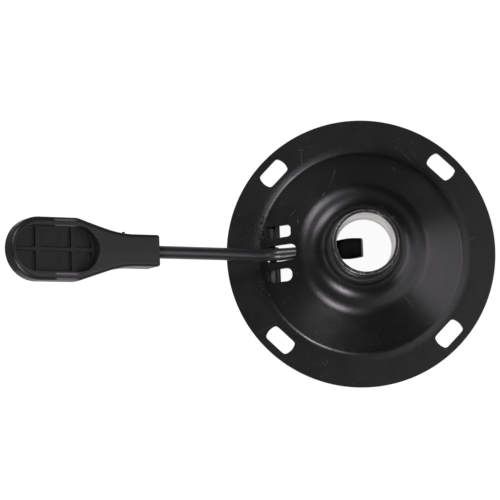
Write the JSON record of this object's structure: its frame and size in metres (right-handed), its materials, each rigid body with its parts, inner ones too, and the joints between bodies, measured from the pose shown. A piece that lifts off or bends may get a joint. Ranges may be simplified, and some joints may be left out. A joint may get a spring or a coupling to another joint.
{
  "type": "swivel seat plate with release lever",
  "caption": "Round pressed seat plate with a taper socket for a gas column and a hinged lever with a paddle grip that releases the column.",
  "frame": {"origin": "on the seat face, at the centre of the round flange and on the socket's axis", "axes": "+Z along the socket's axis towards its mouth, so the seat face looks to -Z; the lever runs to -X; Y along the lever's pivot pin"},
  "size_m": [0.2399, 0.136, 0.0823],
  "materials": {
    "plate_paint": "satin black paint with fine scratches",
    "collar_paint": "satin black paint outside, bare turned steel in the bore",
    "weld_paint": "painted weld bead",
    "lever_paint": "satin black paint",
    "pin_steel": "painted steel pin",
    "grip_plastic": "fine-grained moulded black plastic"
  },
  "bodies": {
    "plate": {"mounting_plate": "plate_paint", "taper_collar": "collar_paint", "collar_weld": "weld_paint"},
    "lever": {"lever_rod": "lever_paint", "pivot_pin": "pin_steel", "pin_weld": "weld_paint", "handle_grip": "grip_plastic"}
  },
  "joints": [
    {"name": "lever_pivot", "type": "hinge", "parent": "plate", "child": "lever", "pos_m": [-0.04466, 0, 0.00385], "axis": [0, 1, 0], "range_deg": [0, 20]}
  ]
}
